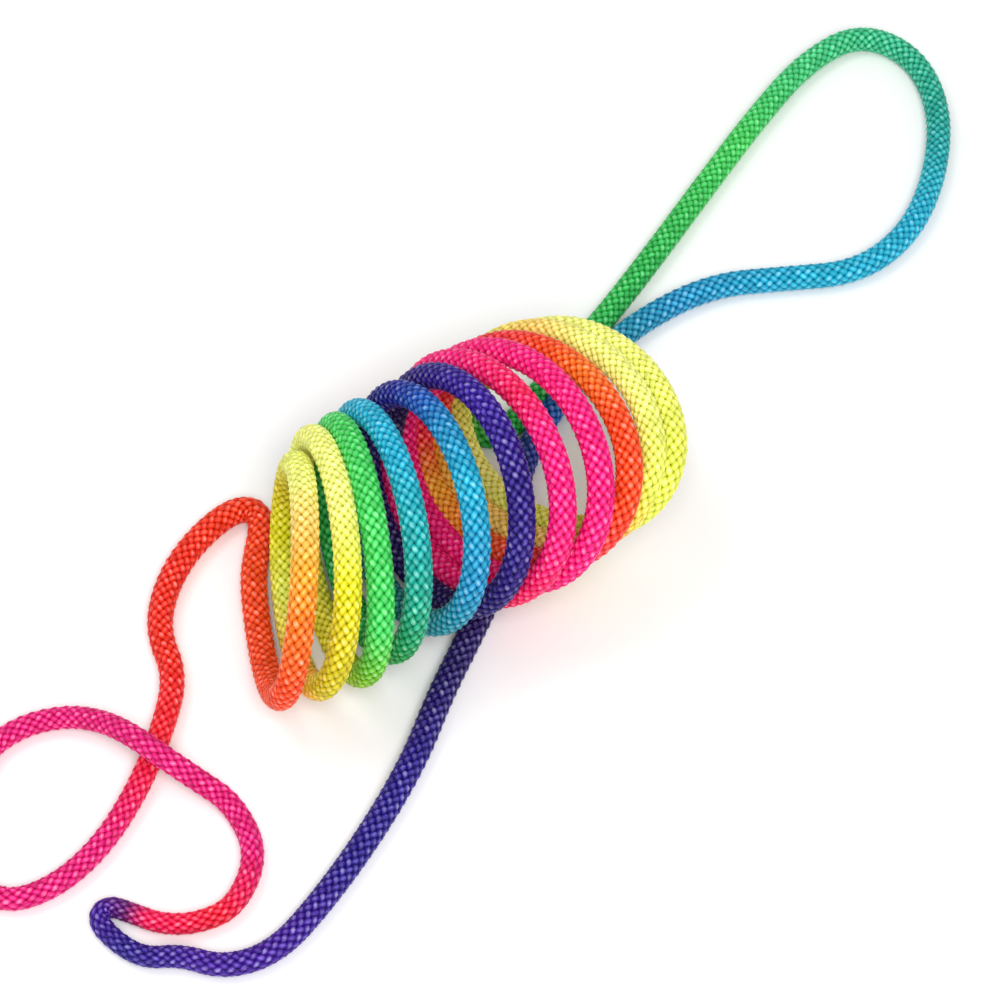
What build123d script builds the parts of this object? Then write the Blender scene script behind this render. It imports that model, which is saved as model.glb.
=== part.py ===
from build123d import *
import math
import os

# A closed loop of soft braided play cord, laid down in a loose coil of eleven turns.
# Frame: +Z up, the surface it lies on at Z = 0, origin at the middle of the footprint.
# All sizes are millimetres and degrees.

CORD_D = 4.0  # diameter of the round braid
CORD_R = CORD_D / 2
WELD_LENGTH = 4.0  # the fused joint between the cord's two ends
WELD_GROOVE = 0.25  # how deep its two pinched rings are
ARC_SHARE = 0.45  # share of a run that each corner's arc takes
RING_POINTS = 12  # points that shape each oval of the coil's solid
SLEEVE_SLACK = 0.05  # keeps the coil's solid off the floor between its shaping ovals

# Height of the cord's middle line where it lies flat, and over the crossing.
FLAT = CORD_R
RISE = 4.0
OVER = 6.5

# One row for each turn of the coil: the middle of the turn on the floor (x, y), the way it
# faces and how far its top leans that way, half its width, half its height, how far its two
# halves are sheared, and how far its foot is off the floor. The last turns stand on the cord
# that runs out below them.
TURNS = [
    (-33.3, -34.3, 8, 9, 18.9, 14.6, 8, 0.0),
    (-28.4, -32.7, 6, 13, 18.3, 14.8, 5, 0.0),
    (-23.8, -29.2, 14, 13, 19.8, 14.4, 1, 0.0),
    (-20.1, -26.9, 15, 12, 19.4, 14.3, 1, 0.4),
    (-15.5, -23.4, 21, 14, 19.1, 14.5, 6, 0.8),
    (-9.5, -20.3, 28, 20, 18.7, 15.5, 5, 0.8),
    (-5.2, -18.2, 28, 23, 19.0, 16.4, 7, 1.2),
    (-1.1, -16.0, 30, 26, 21.1, 16.3, 11, 1.6),
    (2.5, -13.0, 29, 33, 20.9, 16.6, 15, 2.0),
    (5.7, -10.1, 29, 38, 20.6, 16.0, 17, 2.6),
    (8.8, -7.0, 27, 44, 20.1, 15.8, 17, 3.2),
    (12.3, -4.9, 26, 46, 19.7, 14.7, 17, 3.2),
]
COIL_PLACES = (0.8, 2.5, 4.5, 6.0, 7.5, 9.0, 11.0)  # turns that shape the coil's solid
LEAD_TURNS = (0.20, 0.28, 0.36, 0.44)  # places on the first turn that the tube passes

# The cord from the weld round the front bend and along the floor to the coil.
LEAD_IN = [
    (-74.5, -66.0, FLAT), (-74.5, -72.75, FLAT), (-68.75, -78.0, FLAT), (-61.5, -75.5, FLAT),
    (-55.25, -68.75, FLAT), (-50.75, -59.25, FLAT), (-48.0, -49.5, FLAT), (-46.75, -40.75, FLAT),
    (-50.0, -32.75, FLAT), (-49.5, -24.0, FLAT), (-45.5, -14.5, FLAT), (-39.25, -8.75, FLAT),
    (-33.5, -12.0, FLAT), (-34.75, -22.5, FLAT),
]

# The cord from inside the coil round the back loop and in again under the coil.
BACK_LOOP = [
    (9.5, 15.5, FLAT), (16.75, 26.5, FLAT), (24.75, 38.75, FLAT), (34.5, 53.5, FLAT),
    (44.5, 68.75, FLAT), (53.25, 81.25, FLAT), (62.5, 89.25, FLAT), (72.25, 84.25, FLAT),
    (75.0, 70.5, FLAT), (72.5, 54.75, FLAT), (66.75, 42.0, FLAT), (58.0, 33.5, FLAT),
    (46.5, 34.5, FLAT), (35.25, 32.75, FLAT), (24.5, 26.0, FLAT), (14.75, 16.0, FLAT),
    (8.0, 6.5, FLAT), (4.5, -1.5, FLAT), (2.75, -9.5, FLAT), (2.0, -14.0, FLAT),
]

# The cord from under the coil to the front fold, over the first run and back to the weld.
LEAD_OUT = [
    (2.0, -14.0, FLAT), (1.25, -18.5, FLAT), (-0.75, -26.5, FLAT), (-4.0, -34.5, FLAT),
    (-8.0, -44.0, FLAT), (-11.5, -54.75, FLAT), (-17.25, -66.5, FLAT), (-24.0, -77.5, FLAT),
    (-30.0, -85.5, FLAT), (-37.5, -88.5, FLAT), (-44.75, -86.25, FLAT), (-50.5, -87.0, FLAT),
    (-55.0, -85.25, FLAT), (-57.75, -82.0, FLAT), (-57.5, -78.75, FLAT), (-54.25, -77.25, FLAT),
    (-49.5, -79.0, FLAT), (-43.5, -81.25, FLAT), (-36.5, -78.75, FLAT), (-33.25, -70.0, FLAT),
    (-37.25, -62.0, FLAT), (-42.0, -59.5, RISE), (-46.75, -57.25, OVER), (-52.0, -53.25, OVER),
    (-56.75, -49.5, RISE), (-62.5, -47.5, FLAT), (-69.25, -49.5, FLAT), (-74.5, -54.75, FLAT),
    (-74.5, -62.0, FLAT),
]


def turn_values(turn):
    """The eight values of TURNS at any turn, on a smooth curve through its rows."""
    last = len(TURNS) - 1
    row = min(max(int(turn), 0), last - 1)
    share = turn - row
    before, here, after, beyond = (TURNS[min(max(row + k, 0), last)] for k in (-1, 0, 1, 2))
    return [
        0.5 * (2 * p1 + (p2 - p0) * share + (2 * p0 - 5 * p1 + 4 * p2 - p3) * share**2
               + (3 * p1 - p0 - 3 * p2 + p3) * share**3)
        for p0, p1, p2, p3 in zip(before, here, after, beyond)
    ]


def turn_plane(turn, half_height, lift):
    """The plane of one turn through its middle: X away along the floor, Y up the leaning turn."""
    x, y, facing, lean = turn_values(turn)[:4]
    facing, lean = math.radians(facing), math.radians(lean)
    away = (-math.sin(facing), math.cos(facing), 0)
    normal = (math.cos(facing) * math.cos(lean), math.sin(facing) * math.cos(lean), -math.sin(lean))
    height = FLAT + lift + half_height * math.cos(lean)
    return Plane(origin=(x, y, height), x_dir=away, z_dir=normal)


def coil_point(turn):
    """The cord's middle line on the coil."""
    half_width, half_height, shear, lift = turn_values(turn)[4:]
    angle = -2 * math.pi * turn
    across = half_width * math.cos(angle + math.radians(shear))
    plane = turn_plane(turn, half_height, lift)
    return plane.from_local_coords(Vector(across, half_height * math.sin(angle), 0))


def turn_ring(turn, grow):
    """The oval of one turn with its foot on the floor, made bigger or smaller all round by grow."""
    lean, half_width, half_height, shear, lift = turn_values(turn)[3:]
    half_height += lift / 2 / math.cos(math.radians(lean))
    plane = turn_plane(turn, half_height, 0)
    points = []
    for step in range(RING_POINTS):
        angle = -2 * math.pi * step / RING_POINTS
        across = (half_width + grow) * math.cos(angle + math.radians(shear))
        up = (half_height + grow) * math.sin(angle)
        points.append(plane.from_local_coords(Vector(across, up, 0)))
    return make_face(Spline(*points, periodic=True))


def cord_tube(name, points):
    """A plain round tube along straight runs joined by arcs as large as the runs allow."""
    points = [Vector(*point) for point in points]
    runs = [after - before for before, after in zip(points, points[1:])]
    radii = []
    for first, second in zip(runs, runs[1:]):
        half_turn = math.radians(first.get_angle(second)) / 2
        radii.append(ARC_SHARE * min(first.length, second.length) / math.tan(half_turn))
    path = FilletPolyline(*points, radius=radii)
    start = Plane(origin=path @ 0, z_dir=path % 0)
    tube = sweep(start * Circle(CORD_R), path=path)
    share = tube.volume / (math.pi * CORD_R**2 * path.length)
    print(name, "length", round(path.length, 1), "volume share", round(share, 4))
    print(name, "radii", [round(radius, 1) for radius in radii])
    return tube


def coil_sleeve():
    """The coil's outer shape, open along its middle as the turns are."""
    outside = loft([turn_ring(turn, CORD_R - SLEEVE_SLACK) for turn in COIL_PLACES])
    inside = loft([turn_ring(turn, -CORD_R) for turn in COIL_PLACES])
    return outside - inside


def end_weld():
    """The short fused joint, with two pinched rings, between the cord's ends."""
    length, groove = WELD_LENGTH, WELD_GROOVE
    waist = CORD_R - groove
    outline = Polyline(
        (0, 0), (CORD_R, 0), (CORD_R, 0.15 * length), (waist, 0.25 * length),
        (CORD_R, 0.35 * length), (CORD_R, 0.65 * length), (waist, 0.75 * length),
        (CORD_R, 0.85 * length), (CORD_R, length), (0, length), (0, 0),
    )
    barrel = revolve(make_face(outline), axis=Axis.Y)
    return Pos(LEAD_IN[0][0], LEAD_IN[0][1], FLAT) * barrel


def single(shape):
    """The one solid of a shape, or its largest after a cut leaves crumbs."""
    return max(shape.solids(), key=lambda solid: solid.volume)


lead_points = LEAD_IN + [tuple(coil_point(turn)) for turn in LEAD_TURNS]
lead_in = cord_tube("lead_in", lead_points)
back_loop = cord_tube("back_loop", BACK_LOOP)
lead_out = cord_tube("lead_out", LEAD_OUT)
coil = single(coil_sleeve() - lead_in - back_loop - lead_out)

parts = {
    "coil": coil,
    "lead_in": lead_in,
    "back_loop": back_loop,
    "lead_out": lead_out,
    "end_weld": end_weld(),
}
os.makedirs("parts", exist_ok=True)
for node, shape in parts.items():
    box = shape.bounding_box()
    print(node, "volume", round(shape.volume, 1), "from", box.min, "to", box.max)
    export_step(shape, f"parts/{node}.step")
everything = Compound(children=list(parts.values())).bounding_box()
print("all", everything.min, everything.max)
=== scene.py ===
"""A closed loop of soft rainbow cord, loosely coiled on a pale studio floor.

The cord is a sixteen-yarn plaited sleeve over a core. Everything follows one line: the NURBS
curve of the cord's route. Lengths are metres; the route's points are millimetres.
"""

import math

import bpy
import numpy as np
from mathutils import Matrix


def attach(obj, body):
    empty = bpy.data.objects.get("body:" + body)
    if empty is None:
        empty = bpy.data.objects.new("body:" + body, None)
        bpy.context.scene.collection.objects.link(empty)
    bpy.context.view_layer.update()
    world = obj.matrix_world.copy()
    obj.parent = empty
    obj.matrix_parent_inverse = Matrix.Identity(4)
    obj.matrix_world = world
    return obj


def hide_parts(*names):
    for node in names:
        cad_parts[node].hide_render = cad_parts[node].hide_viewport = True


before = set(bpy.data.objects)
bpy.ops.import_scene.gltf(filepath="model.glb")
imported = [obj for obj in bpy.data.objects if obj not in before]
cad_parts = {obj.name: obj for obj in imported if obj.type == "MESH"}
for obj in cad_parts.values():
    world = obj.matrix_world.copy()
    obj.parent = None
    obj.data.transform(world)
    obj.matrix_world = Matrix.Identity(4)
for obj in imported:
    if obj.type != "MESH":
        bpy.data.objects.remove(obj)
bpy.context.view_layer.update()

MM = 0.001
CORD_D = 4.0  # millimetres, as in the CAD model
CURVE_STEPS = 12  # steps between two points of the route

# ---------------------------------------------------------------- the cord's route
FLAT = CORD_D / 2
RISE = 4.0
OVER = 6.5

LEAD_IN = [
    (-74.5, -66.0, FLAT), (-74.5, -72.75, FLAT), (-68.75, -78.0, FLAT), (-61.5, -75.5, FLAT),
    (-55.25, -68.75, FLAT), (-50.75, -59.25, FLAT), (-48.0, -49.5, FLAT), (-46.75, -40.75, FLAT),
    (-50.0, -33.0, FLAT), (-49.25, -25.0, FLAT), (-45.75, -17.25, FLAT), (-39.5, -10.5, FLAT),
    (-35.0, -12.0, FLAT), (-36.25, -21.5, FLAT),
]

# One row for each turn: its middle on the floor (x, y), the way it faces, its lean, half its
# width, half its height, the shear of its two halves, and how far its foot is off the floor.
TURNS = [
    (-33.3, -34.3, 8, 9, 18.9, 14.6, 8, 0.0),
    (-28.4, -32.7, 6, 13, 18.3, 14.8, 5, 0.0),
    (-23.8, -29.2, 14, 13, 19.8, 14.4, 1, 0.0),
    (-20.1, -26.9, 15, 12, 19.4, 14.3, 1, 0.4),
    (-15.5, -23.4, 21, 14, 19.1, 14.5, 6, 0.8),
    (-9.5, -20.3, 28, 20, 18.7, 15.5, 5, 0.8),
    (-5.2, -18.2, 28, 23, 19.0, 16.4, 7, 1.2),
    (-1.1, -16.0, 30, 26, 21.1, 16.3, 11, 1.6),
    (2.5, -13.0, 29, 33, 20.9, 16.6, 15, 2.0),
    (5.7, -10.1, 29, 38, 20.6, 16.0, 17, 2.6),
    (8.8, -7.0, 27, 44, 20.1, 15.8, 17, 3.2),
    (12.3, -4.9, 26, 46, 19.7, 14.7, 17, 3.2),
]
FIRST_TURN = 0.2
LAST_TURN = 11.1
POINTS_PER_TURN = 20

# From the last turn, round inside the coil and down to the floor.
INSIDE = [(-5.25, 7.5, 5.6), (-3.5, 2.5, 3.2), (0.5, 2.5, FLAT), (4.0, 6.75, FLAT)]

BACK_LOOP = [
    (9.5, 15.0, FLAT), (17.5, 26.25, FLAT), (25.25, 38.5, FLAT), (34.25, 53.5, FLAT),
    (43.75, 69.0, FLAT), (52.5, 81.5, FLAT), (62.25, 88.75, FLAT), (71.5, 83.5, FLAT),
    (75.0, 70.5, FLAT), (72.5, 55.0, FLAT), (67.0, 43.0, FLAT), (58.25, 35.5, FLAT),
    (46.5, 34.25, FLAT), (35.25, 33.0, FLAT), (24.5, 26.75, FLAT), (14.75, 17.25, FLAT),
    (8.0, 6.75, FLAT), (4.5, -1.5, FLAT), (2.75, -9.5, FLAT),
]

LEAD_OUT = [
    (2.0, -14.0, FLAT), (1.25, -18.5, FLAT), (-0.75, -26.5, FLAT), (-4.0, -34.5, FLAT),
    (-8.0, -44.0, FLAT), (-11.5, -54.75, FLAT), (-17.25, -66.5, FLAT), (-24.0, -77.5, FLAT),
    (-30.0, -85.25, FLAT), (-37.0, -87.75, FLAT), (-43.25, -85.75, FLAT), (-48.0, -86.25, FLAT),
    (-52.0, -84.0, FLAT), (-55.25, -80.5, FLAT), (-54.0, -78.0, FLAT), (-50.0, -79.5, FLAT),
    (-46.25, -81.0, FLAT), (-41.5, -81.0, FLAT), (-36.0, -78.5, FLAT), (-33.25, -70.0, FLAT),
    (-37.25, -62.0, FLAT), (-42.0, -59.5, RISE), (-46.75, -57.25, OVER), (-52.0, -53.25, OVER),
    (-56.75, -49.5, RISE), (-62.5, -47.5, FLAT), (-69.25, -49.5, FLAT), (-74.5, -54.75, FLAT),
    (-74.5, -62.0, FLAT),
]

# How thick the cord is at places along it, as a share of its diameter. A place is a turn of the
# coil, or the number of a point on the other stretches.
THICKNESS = {
    "lead_in": [(0, 0.82), (5, 0.86), (7, 0.94), (9, 1.0)],
    "lead_out": [
        (5, 1.0), (8, 0.92), (10, 0.82), (12, 0.74), (16, 0.74), (19, 0.82), (22, 0.86), (28, 0.82),
    ],
}

# The dyes of the rainbow, as sRGB. The palest, straw and lemon, also serve in the table below as
# painted highlight and painted light.
DYES = {
    "magenta": (225, 35, 138), "pink": (242, 45, 145), "rose": (238, 40, 112), "red": (235, 52, 80),
    "coral": (236, 80, 85), "scarlet": (232, 70, 35), "orange": (240, 98, 48),
    "amber": (240, 138, 68), "gold": (243, 186, 85), "straw": (246, 218, 136),
    "lemon": (246, 248, 160), "citron": (234, 239, 125), "yellow": (232, 230, 64),
    "mustard": (218, 206, 46), "leaf": (136, 195, 56), "mint": (90, 208, 112),
    "green": (60, 184, 94), "deep_green": (42, 162, 80), "jade": (84, 198, 145),
    "teal": (54, 173, 160), "deep_teal": (40, 140, 140), "sea": (46, 152, 168),
    "sky": (66, 182, 208), "azure": (48, 155, 196), "blue": (40, 105, 186),
    "royal": (22, 40, 150), "navy": (20, 25, 125), "indigo": (40, 18, 106),
    "violet": (52, 14, 134), "bright_violet": (70, 8, 160), "plum": (36, 6, 85),
    "purple": (50, 28, 140), "lilac": (80, 42, 155), "wine": (118, 32, 122),
}

# Which colour the cord has at places along it, blending in between. It is the rainbow dye, with
# painted highlight where turns are paler at their tops, and painted light where strands inside the
# coil are lighter than their neighbours.
DYED_AND_PAINTED_LIGHT = {
    "lead_in": [
        (0, "magenta"), (3.5, "magenta"), (5, "red"), (7, "scarlet"), (9, "scarlet"), (13, "orange"),
    ],
    "coil": [
        (0.5, "orange"), (0.6, "amber"), (0.67, "gold"), (0.74, "straw"), (0.8, "lemon"),
        (0.9, "citron"), (1.0, "mustard"), (1.1, "yellow"), (1.2, "citron"), (1.38, "gold"),
        (1.45, "mustard"), (1.57, "mustard"), (1.63, "yellow"), (1.72, "lemon"), (1.86, "lemon"),
        (2.1, "citron"), (2.3, "mustard"), (2.45, "leaf"), (2.55, "mint"), (2.9, "mint"),
        (3.15, "green"), (3.45, "deep_green"), (3.6, "teal"), (3.75, "sky"), (3.9, "sky"),
        (4.1, "sea"), (4.33, "deep_teal"), (4.45, "sea"), (4.55, "azure"), (4.68, "sky"),
        (4.76, "azure"), (4.82, "blue"), (4.89, "royal"), (4.96, "navy"), (5.2, "indigo"),
        (5.4, "indigo"), (5.55, "violet"), (5.67, "violet"), (5.78, "bright_violet"),
        (5.92, "violet"), (6.06, "plum"), (6.14, "magenta"), (6.3, "pink"), (6.45, "rose"),
        (6.6, "pink"), (6.72, "pink"), (6.78, "rose"), (6.9, "pink"), (8.06, "pink"),
        (8.15, "coral"), (8.23, "gold"), (8.32, "amber"), (8.4, "coral"), (8.52, "coral"),
        (8.6, "orange"), (8.72, "orange"), (8.8, "amber"), (8.87, "orange"), (8.93, "coral"),
        (9.1, "coral"), (9.2, "gold"), (9.33, "straw"), (9.42, "straw"), (9.52, "gold"),
        (9.6, "citron"), (9.76, "lemon"), (9.86, "lemon"), (9.93, "straw"), (10.1, "citron"),
        (10.28, "lemon"), (10.4, "citron"), (10.66, "citron"), (10.84, "lemon"), (11, "lemon"),
    ],
    "inside": [(0, "leaf"), (2, "green")],
    "back_loop": [
        (2, "green"), (4, "mint"), (6, "jade"), (8.5, "teal"), (10, "sky"), (12, "sky"),
        (14, "azure"), (15.5, "sea"), (16.5, "blue"), (18, "purple"),
    ],
    "lead_out": [
        (2, "indigo"), (4, "indigo"), (5.5, "purple"), (7, "purple"), (8.5, "lilac"), (10, "lilac"),
        (12, "purple"), (14, "lilac"), (15.2, "wine"), (16, "rose"), (18, "red"), (19.5, "magenta"),
        (28, "magenta"),
    ],
}


def turn_values(turn):
    """The eight values of TURNS at any turn, on a smooth curve through its rows."""
    last = len(TURNS) - 1
    row = min(max(int(turn), 0), last - 1)
    share = turn - row
    before, here, after, beyond = (TURNS[min(max(row + k, 0), last)] for k in (-1, 0, 1, 2))
    return [
        0.5 * (2 * p1 + (p2 - p0) * share + (2 * p0 - 5 * p1 + 4 * p2 - p3) * share**2
               + (3 * p1 - p0 - 3 * p2 + p3) * share**3)
        for p0, p1, p2, p3 in zip(before, here, after, beyond)
    ]


def coil_point(turn):
    """A point of the route on the coil: an oval turn, leaning, with its two halves sheared."""
    x, y, facing, lean, half_width, half_height, shear, lift = turn_values(turn)
    facing, lean, shear = (math.radians(value) for value in (facing, lean, shear))
    angle = -2 * math.pi * turn
    across = half_width * math.cos(angle + shear)
    up = half_height * math.sin(angle)
    height = FLAT + lift + half_height * math.cos(lean) + up * math.cos(lean)
    return (
        x - across * math.sin(facing) + up * math.cos(facing) * math.sin(lean),
        y + across * math.cos(facing) + up * math.sin(facing) * math.sin(lean),
        height,
    )


def route_stretches():
    """The named stretches of the route, in order, each as a list of (place, point)."""
    steps = round((LAST_TURN - FIRST_TURN) * POINTS_PER_TURN)
    turns = [FIRST_TURN + (LAST_TURN - FIRST_TURN) * step / steps for step in range(steps + 1)]
    return [
        ("lead_in", list(enumerate(LEAD_IN))),
        ("coil", [(turn, coil_point(turn)) for turn in turns]),
        ("inside", list(enumerate(INSIDE))),
        ("back_loop", list(enumerate(BACK_LOOP))),
        ("lead_out", list(enumerate(LEAD_OUT))),
    ]


def route_curve(points):
    """A NURBS curve with the route's points as its control points."""
    data = bpy.data.curves.new("route", "CURVE")
    data.dimensions = "3D"
    spline = data.splines.new("NURBS")
    spline.points.add(len(points) - 1)
    for control, (x, y, z) in zip(spline.points, points):
        control.co = (x * MM, y * MM, z * MM, 1)
    spline.order_u = 3
    spline.use_endpoint_u = True
    spline.resolution_u = CURVE_STEPS
    return bpy.data.objects.new("route", data)


class Line:
    """The cord's middle line, with a frame that doesn't twist along it."""

    def __init__(self):
        stretches = route_stretches()
        points = [point for _, stretch in stretches for _, point in stretch]
        route = route_curve(points)
        mesh = bpy.data.meshes.new_from_object(route)
        self.points = np.array([vertex.co for vertex in mesh.vertices])
        bpy.data.meshes.remove(mesh)
        bpy.data.curves.remove(route.data)
        steps = np.linalg.norm(np.diff(self.points, axis=0), axis=1)
        self.along = np.concatenate([[0], np.cumsum(steps)])
        self.length = self.along[-1]
        self.make_frame()
        self.place_controls(stretches, points)

    def make_frame(self):
        """Two directions across the line at each of its points, side and up."""
        ahead = np.gradient(self.points, self.along, axis=0)
        ahead /= np.linalg.norm(ahead, axis=1)[:, None]
        side = np.zeros_like(ahead)
        side[0] = np.cross(ahead[0], (0, 0, 1))
        for k in range(1, len(ahead)):
            moved = side[k - 1] - ahead[k] * (side[k - 1] @ ahead[k])
            side[k] = moved / np.linalg.norm(moved)
        self.side = side
        self.up = np.cross(side, ahead)

    def place_controls(self, stretches, points):
        """Where along the line each place of a stretch is, as arrays for each stretch."""
        self.places = {}
        share = (len(self.points) - 1) / (len(points) - 1)
        first = 0
        for name, stretch in stretches:
            numbers = (first + np.arange(len(stretch))) * share
            along = np.interp(numbers, np.arange(len(self.along)), self.along)
            self.places[name] = (np.array([place for place, _ in stretch]), along)
            first += len(stretch)

    def at(self, stretch, place):
        """The distance along the line of a place on a stretch."""
        places, along = self.places[stretch]
        return float(np.interp(place, places, along))

    def blend(self, table, along):
        """The values of a table of places, blended at distances along the line."""
        rows = [(self.at(name, place), value) for name in table for place, value in table[name]]
        at, values = zip(*rows)
        values = np.array(values, dtype=float).reshape(len(rows), -1)
        return np.stack([np.interp(along, at, column) for column in values.T], axis=-1)

    def surface(self, along, angle, radius):
        """Points at a distance along, an angle round and a radius from the line."""
        along = np.clip(along, 0, self.length)
        middle, side, up = (
            np.stack([np.interp(along, self.along, source[:, k]) for k in range(3)], axis=-1)
            for source in (self.points, self.side, self.up)
        )
        reach = radius[..., None] * self.blend(THICKNESS, along)
        return middle + reach * (np.cos(angle)[..., None] * side + np.sin(angle)[..., None] * up)


# ---------------------------------------------------------------- the dye as linear colours
DEPTH_OF_DYE = 1.16  # how much stronger the dye is than the colour that it gives in the light


def linear(colour):
    """An sRGB colour of 0 to 255 as linear light."""
    value = np.array(colour) / 255
    return np.where(value < 0.04045, value / 12.92, ((value + 0.055) / 1.055) ** 2.4)


def deep_dye(name):
    """The linear colour of a dye, made stronger by DEPTH_OF_DYE."""
    colour = linear(DYES[name])
    grey = colour.mean()
    return np.clip(grey + DEPTH_OF_DYE * (colour - grey), 0.001, 1)


def dye_and_painted_light_along(line, along):
    """The linear colour at distances along the line: the dye, with its painted highlight and painted
    light.
    """
    table = {
        stretch: [(place, deep_dye(name)) for place, name in places]
        for stretch, places in DYED_AND_PAINTED_LIGHT.items()
    }
    return line.blend(table, along)


# ---------------------------------------------------------------- meshes
def grid_faces(rows, columns, closed=False):
    """Quads of a grid of vertices, stored row by row."""
    row, column = np.meshgrid(np.arange(rows - 1), np.arange(columns - (not closed)), indexing="ij")
    following = (column + 1) % columns
    corners = (
        row * columns + column,
        (row + 1) * columns + column,
        (row + 1) * columns + following,
        row * columns + following,
    )
    return np.stack(corners, axis=-1).reshape(-1, 4)


def mesh_piece(name, points, faces, colours, fibres, material):
    """A smooth mesh object with a colour of dye and painted light, its alpha the relief that sets
    painted shade and painted highlight, and a fibre coordinate.
    """
    mesh = bpy.data.meshes.new(name)
    mesh.vertices.add(len(points))
    mesh.vertices.foreach_set("co", points.astype(np.float32).ravel())
    mesh.loops.add(faces.size)
    mesh.loops.foreach_set("vertex_index", faces.astype(np.int32).ravel())
    mesh.polygons.add(len(faces))
    mesh.polygons.foreach_set("loop_start", np.arange(0, faces.size, 4, dtype=np.int32))
    mesh.polygons.foreach_set("use_smooth", np.ones(len(faces), dtype=bool))
    dye_and_painted_light = mesh.attributes.new("dye_and_painted_light", "FLOAT_COLOR", "POINT")
    dye_and_painted_light.data.foreach_set("color", colours.astype(np.float32).ravel())
    fibre = mesh.attributes.new("fibre", "FLOAT_VECTOR", "POINT")
    fibre.data.foreach_set("vector", fibres.astype(np.float32).ravel())
    mesh.update()
    mesh.validate()
    mesh.materials.append(material)
    piece = bpy.data.objects.new(name, mesh)
    bpy.context.scene.collection.objects.link(piece)
    return piece


# ---------------------------------------------------------------- the braid
YARNS_EACH_WAY = 8
LAY = 3.2 * CORD_D * MM  # length of cord in which a yarn goes once round
OVER_RADIUS = 0.52 * CORD_D * MM  # the yarn's back where it passes over
WAVE = 0.17 * MM  # half of how far a yarn rises and dips
YARN_HALF_WIDTH = 0.57 * MM
CROWN = 0.34 * MM  # how far a yarn's edges lie below its back
CROSS_SECTION = (-1.0, -0.68, 0.0, 0.68, 1.0)
WAVE_STATIONS = (-0.36, -0.19, 0.0, 0.19, 0.36)  # places on each rise, as shares of a wave
CORE_RADIUS = 1.5 * MM
CORE_SIDES = 10
CORE_STEP = 1.2 * MM
chance = np.random.default_rng(5)  # gives every crossing its own value


def yarn_grid(line, way, number):
    """One yarn's vertices, its colour of dye and painted light with the relief as alpha, and its
    fibre coordinate: rows along the cord, columns across it.

    The yarn winds one way (1) or the other (-1) and passes over and under the other yarns."""
    wave = LAY / YARNS_EACH_WAY
    offset = 0 if way > 0 else wave / 2
    count = int(line.length / wave)
    rises = np.arange(count + 1) * wave + offset
    along = (rises[:, None] + np.array(WAVE_STATIONS) * wave).ravel()
    along = along[(along >= 0) & (along <= line.length)]
    angle = way * 2 * math.pi * along / LAY + 2 * math.pi * number / YARNS_EACH_WAY
    radius = OVER_RADIUS - WAVE + WAVE * np.cos(2 * math.pi * (along - offset) / wave)
    slant = math.atan2(2 * math.pi * OVER_RADIUS, LAY)
    across = np.array(CROSS_SECTION) * YARN_HALF_WIDTH
    dip = CROWN * np.abs(np.array(CROSS_SECTION)) ** 3
    grid_along = along[:, None] - way * math.sin(slant) * across
    grid_angle = angle[:, None] + math.cos(slant) * across / OVER_RADIUS
    grid_radius = radius[:, None] - dip
    points = line.surface(grid_along, grid_angle, grid_radius)
    # The relief is high on the back of each crossing and low at a yarn's edges and in the dips. The
    # material paints highlight where it is high and shade where it is low.
    crest = 0.5 + 0.5 * np.cos(2 * math.pi * (along - offset) / wave)
    relief = crest[:, None] * (1 - np.abs(np.array(CROSS_SECTION)) ** 2.5)
    colours = np.concatenate([dye_and_painted_light_along(line, grid_along), relief[..., None]], axis=-1)
    cell = chance.random(count + 2)[np.round((along - offset) / wave).astype(int)]
    run = along / math.cos(slant)
    fibres = np.stack(np.broadcast_arrays(across, run[:, None], cell[:, None]), axis=-1)
    return points, colours, fibres


def yarn_piece(line, name, way, numbers, material):
    """Several yarns that wind the same way, as one mesh object."""
    points, colours, fibres, faces, first = [], [], [], [], 0
    for number in numbers:
        grid, dye_and_painted_light, fibre = yarn_grid(line, way, number)
        quads = grid_faces(*grid.shape[:2])
        points.append(grid.reshape(-1, 3))
        colours.append(dye_and_painted_light.reshape(-1, 4))
        fibres.append(fibre.reshape(-1, 3))
        faces.append(quads + first)
        first += grid.shape[0] * grid.shape[1]
    return mesh_piece(
        name, np.concatenate(points), np.concatenate(faces),
        np.concatenate(colours), np.concatenate(fibres), material,
    )


def core_piece(line, material):
    """The cord's core, and the points that it follows."""
    rings = round(line.length / CORE_STEP)
    along = np.linspace(0, line.length, rings + 1)
    angle = 2 * math.pi * np.arange(CORE_SIDES) / CORE_SIDES
    grid_along, grid_angle = np.meshgrid(along, angle, indexing="ij")
    points = line.surface(grid_along, grid_angle, np.full(grid_along.shape, CORE_RADIUS))
    faces = grid_faces(len(along), CORE_SIDES, closed=True)
    # With relief 0 all over, the core gets painted shade everywhere.
    colours = np.c_[dye_and_painted_light_along(line, grid_along).reshape(-1, 3), np.zeros(grid_along.size)]
    fibres = np.stack([grid_angle * CORE_RADIUS, grid_along, grid_along * 0], axis=-1)
    piece = mesh_piece(
        "cord_core", points.reshape(-1, 3), faces, colours, fibres.reshape(-1, 3), material
    )
    return piece, line.surface(along, along * 0, along * 0)


# ---------------------------------------------------------------- materials
FILAMENTS_PER_METRE = (6500, 450, 40)  # across a yarn, along it, and from crossing to crossing
FILAMENT_BUMP = 0.15 * MM
PAINTED_HIGHLIGHT_GREY = (0.9, 0.9, 0.9, 1)  # pale grey mixed into the yarns' backs as painted highlight
WELD_LINES_PER_METRE = (2600, 500, 2600)
WELD_BUMP = 0.1 * MM
WELD_COLOURS = ((150, 12, 70), (224, 36, 128))  # sRGB


def shader(name):
    """A new material with its nodes, its links and its main shader."""
    material = bpy.data.materials.new(name)
    material.use_nodes = True
    tree = material.node_tree
    return material, tree.nodes, tree.links, tree.nodes["Principled BSDF"]


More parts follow.
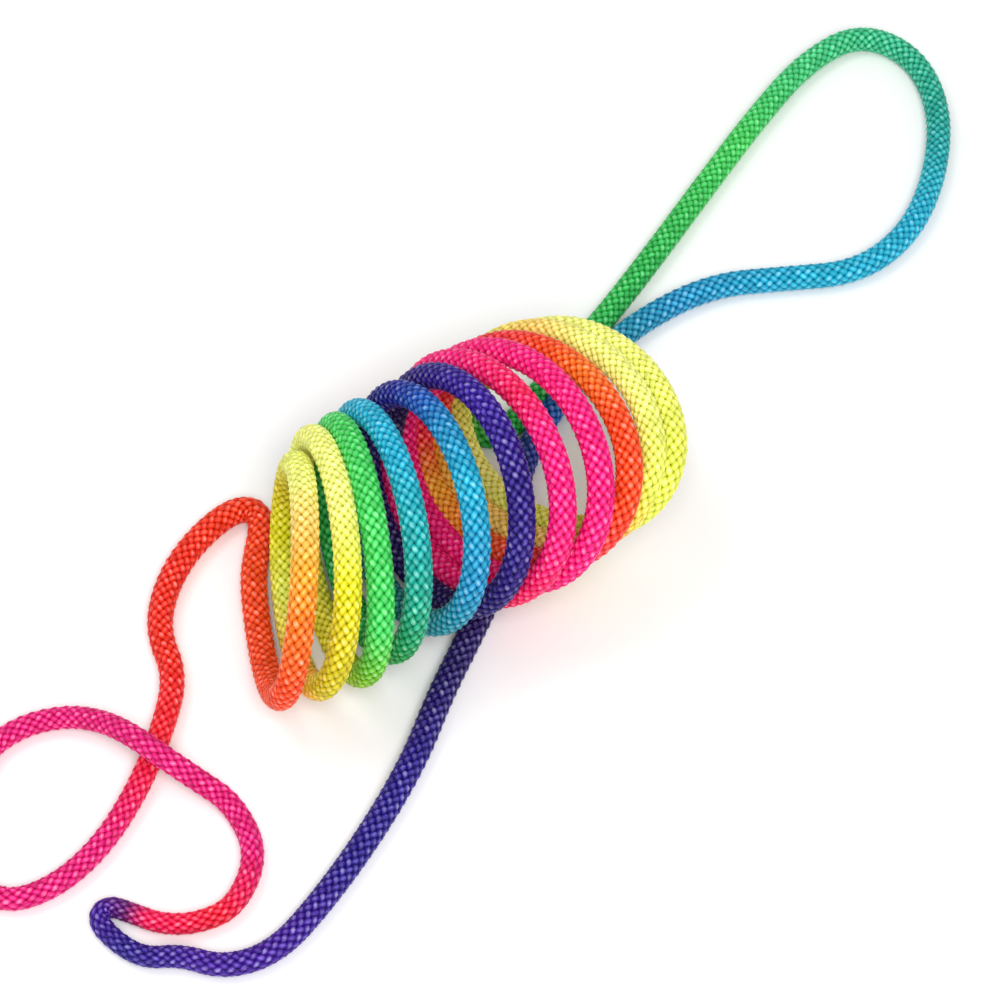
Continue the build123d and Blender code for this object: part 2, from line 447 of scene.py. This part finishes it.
def yarn_material(name, dip_shade, highlight_most):
    """Dyed filament yarn: fine lengthwise filaments, with painted highlight (pale grey) on each
    crossing's back and painted shade in the dips between, and the painted highlight stronger on some
    crossings than on others.

    Its two numbers: how light the painted shade leaves the dye at the bottom of a dip, and how much
    pale grey the strongest painted highlight mixes into a back."""
    material, nodes, links, bsdf = shader(name)
    dye_and_painted_light = nodes.new("ShaderNodeAttribute")
    dye_and_painted_light.attribute_name = "dye_and_painted_light"
    fibre = nodes.new("ShaderNodeAttribute")
    fibre.attribute_name = "fibre"
    split = nodes.new("ShaderNodeSeparateXYZ")
    links.new(fibre.outputs["Vector"], split.inputs[0])
    stretch = nodes.new("ShaderNodeVectorMath")
    stretch.operation = "MULTIPLY"
    stretch.inputs[1].default_value = FILAMENTS_PER_METRE
    links.new(fibre.outputs["Vector"], stretch.inputs[0])
    filaments = nodes.new("ShaderNodeTexNoise")
    filaments.inputs["Scale"].default_value = 1.0
    filaments.inputs["Detail"].default_value = 3.0
    links.new(stretch.outputs[0], filaments.inputs["Vector"])

    def graded(value, low, high, source=(0.0, 1.0)):
        """The value, taken from the source range to low and high."""
        grade = nodes.new("ShaderNodeMapRange")
        grade.inputs["From Min"].default_value = source[0]
        grade.inputs["From Max"].default_value = source[1]
        grade.inputs["To Min"].default_value = low
        grade.inputs["To Max"].default_value = high
        links.new(value, grade.inputs["Value"])
        return grade.outputs["Result"]

    def product(first, second):
        times = nodes.new("ShaderNodeMath")
        times.operation = "MULTIPLY"
        links.new(first, times.inputs[0])
        links.new(second, times.inputs[1])
        return times.outputs[0]

    def mixed(factor, first, second):
        """A blend of two colours; each is a socket or a fixed colour."""
        mix = nodes.new("ShaderNodeMix")
        mix.data_type = "RGBA"
        links.new(factor, mix.inputs["Factor"])
        for socket, value in (("A", first), ("B", second)):
            if isinstance(value, tuple):
                mix.inputs[socket].default_value = value
            else:
                links.new(value, mix.inputs[socket])
        return mix.outputs["Result"]

    def vector_step(operation, first, second):
        step = nodes.new("ShaderNodeVectorMath")
        step.operation = operation
        links.new(first, step.inputs[0])
        links.new(second, step.inputs["Scale" if operation == "SCALE" else 1])
        return step.outputs[0]

    relief, cell, filament = dye_and_painted_light.outputs["Alpha"], split.outputs["Z"], filaments.outputs["Fac"]
    # Painted shade: where the relief is low, the colour turns to the dye squared and darkened, most
    # at the bottom of a dip.
    dye_twice = vector_step("MULTIPLY", dye_and_painted_light.outputs["Color"], dye_and_painted_light.outputs["Color"])
    painted_dip_shade = graded(relief, dip_shade, 1.0, (0.0, 0.7))
    deep = vector_step("SCALE", dye_twice, painted_dip_shade)
    shade = product(graded(cell, 0.85, 1.25), graded(filament, 0.7, 1.25, (0.3, 0.7)))
    back = vector_step("SCALE", dye_and_painted_light.outputs["Color"], shade)
    tint = mixed(graded(relief, 0.0, 1.0, (0.08, 0.85)), deep, back)
    # Painted highlight: pale grey mixed into the highest part of each back, more on some crossings
    # and filaments than on others.
    painted_highlight = product(graded(relief, 0.0, highlight_most, (0.5, 1.0)), graded(cell, 0.2, 1.0))
    painted_highlight = product(painted_highlight, graded(filament, 0.4, 1.0, (0.35, 0.6)))
    links.new(mixed(painted_highlight, tint, PAINTED_HIGHLIGHT_GREY), bsdf.inputs["Base Color"])
    bump = nodes.new("ShaderNodeBump")
    bump.inputs["Strength"].default_value = 0.5
    bump.inputs["Distance"].default_value = FILAMENT_BUMP
    links.new(filament, bump.inputs["Height"])
    links.new(bump.outputs["Normal"], bsdf.inputs["Normal"])
    bsdf.inputs["Roughness"].default_value = 0.38
    bsdf.inputs["Specular IOR Level"].default_value = 0.2
    return material


def weld_material():
    """Fused fibre ends: smoother and glossier than the braid, with faint drawn lines."""
    material, nodes, links, bsdf = shader("fused_ends")
    place = nodes.new("ShaderNodeTexCoord")
    stretch = nodes.new("ShaderNodeMapping")
    stretch.inputs["Scale"].default_value = WELD_LINES_PER_METRE
    lines = nodes.new("ShaderNodeTexNoise")
    lines.inputs["Scale"].default_value = 1.0
    links.new(place.outputs["Object"], stretch.inputs["Vector"])
    links.new(stretch.outputs["Vector"], lines.inputs["Vector"])
    ramp = nodes.new("ShaderNodeValToRGB")
    for stop, colour in zip(ramp.color_ramp.elements, WELD_COLOURS):
        stop.color = (*linear(colour), 1)
    links.new(lines.outputs["Fac"], ramp.inputs["Fac"])
    links.new(ramp.outputs["Color"], bsdf.inputs["Base Color"])
    bump = nodes.new("ShaderNodeBump")
    bump.inputs["Distance"].default_value = WELD_BUMP
    links.new(lines.outputs["Fac"], bump.inputs["Height"])
    links.new(bump.outputs["Normal"], bsdf.inputs["Normal"])
    bsdf.inputs["Roughness"].default_value = 0.3
    return material


# ---------------------------------------------------------------- studio
LENS = 105  # millimetres, on a sensor 36 wide
CAMERA_PLACE = (0.0008, -0.26496, 0.36698)
CAMERA_TILT = 35  # degrees up from looking straight down
FLOOR_REACH = 3.0
FLOOR_COLOUR = (0.95, 0.95, 0.95, 1)
SKY_STRENGTH = 0.56
# Each light's place, its turn in degrees, its size and its power in watts.
LIGHTS = {
    "key": ((-0.35, 0.1, 0.8), (-7, -24, 0), 0.4, 1.5),
    "fill": ((0.06, -0.34, 0.46), (36, 7, 0), 0.25, 2.2),
}


def camera():
    """The camera, at the photograph's viewing angle."""
    data = bpy.data.cameras.new("camera")
    data.lens = LENS
    data.sensor_width = 36
    eye = bpy.data.objects.new("camera", data)
    eye.location = CAMERA_PLACE
    eye.rotation_euler = (math.radians(CAMERA_TILT), 0, 0)
    bpy.context.scene.collection.objects.link(eye)
    bpy.context.scene.camera = eye


def floor():
    """A plain pale floor, level with the underside of the cord."""
    mesh = bpy.data.meshes.new("studio_floor")
    low, high = -FLOOR_REACH, FLOOR_REACH
    corners = [(low, low, 0), (high, low, 0), (high, high, 0), (low, high, 0)]
    mesh.from_pydata(corners, [], [(0, 1, 2, 3)])
    material, _, _, bsdf = shader("studio_floor")
    bsdf.inputs["Base Color"].default_value = FLOOR_COLOUR
    bsdf.inputs["Roughness"].default_value = 0.9
    bsdf.inputs["Specular IOR Level"].default_value = 0.1
    mesh.materials.append(material)
    piece = bpy.data.objects.new("studio_floor", mesh)
    bpy.context.scene.collection.objects.link(piece)


def area_light(name, place, turn, size, power):
    """A square soft light."""
    data = bpy.data.lights.new(name, "AREA")
    data.shape = "SQUARE"
    data.size = size
    data.energy = power
    lamp = bpy.data.objects.new(name, data)
    lamp.location = place
    lamp.rotation_euler = [math.radians(angle) for angle in turn]
    bpy.context.scene.collection.objects.link(lamp)


def studio():
    """Even light from all round, and two soft area lights."""
    world = bpy.data.worlds.new("studio")
    world.use_nodes = True
    sky = world.node_tree.nodes["Background"]
    sky.inputs["Color"].default_value = (1, 1, 1, 1)
    sky.inputs["Strength"].default_value = SKY_STRENGTH
    bpy.context.scene.world = world
    bpy.context.scene.view_settings.view_transform = "Standard"
    for name, (place, turn, size, power) in LIGHTS.items():
        area_light(name, place, turn, size, power)


# ---------------------------------------------------------------- the scene
camera()
studio()
floor()
line = Line()
# The yarns winding right get a stronger painted highlight on their backs, and a little less painted
# shade in their dips, than the yarns winding left.
strong_highlight_yarn = yarn_material("yarn_strong_painted_highlight", 0.25, 0.45)
faint_highlight_yarn = yarn_material("yarn_faint_painted_highlight", 0.2, 0.2)
# Painted shade all over the core, darker than at the bottom of the yarns' dips.
core_yarn = yarn_material("core_yarn", 0.15, 0.0)
core, core_line = core_piece(line, core_yarn)
half = YARNS_EACH_WAY // 2
sleeves = [
    yarn_piece(line, "yarns_right_a", 1, range(0, half), strong_highlight_yarn),
    yarn_piece(line, "yarns_right_b", 1, range(half, YARNS_EACH_WAY), strong_highlight_yarn),
    yarn_piece(line, "yarns_left_a", -1, range(0, half), faint_highlight_yarn),
    yarn_piece(line, "yarns_left_b", -1, range(half, YARNS_EACH_WAY), faint_highlight_yarn),
]
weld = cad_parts["end_weld"]
weld.data.materials.clear()
weld.data.materials.append(weld_material())

for piece in [core] + sleeves:
    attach(piece, "root")
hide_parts("coil", "lead_in", "back_loop", "lead_out")
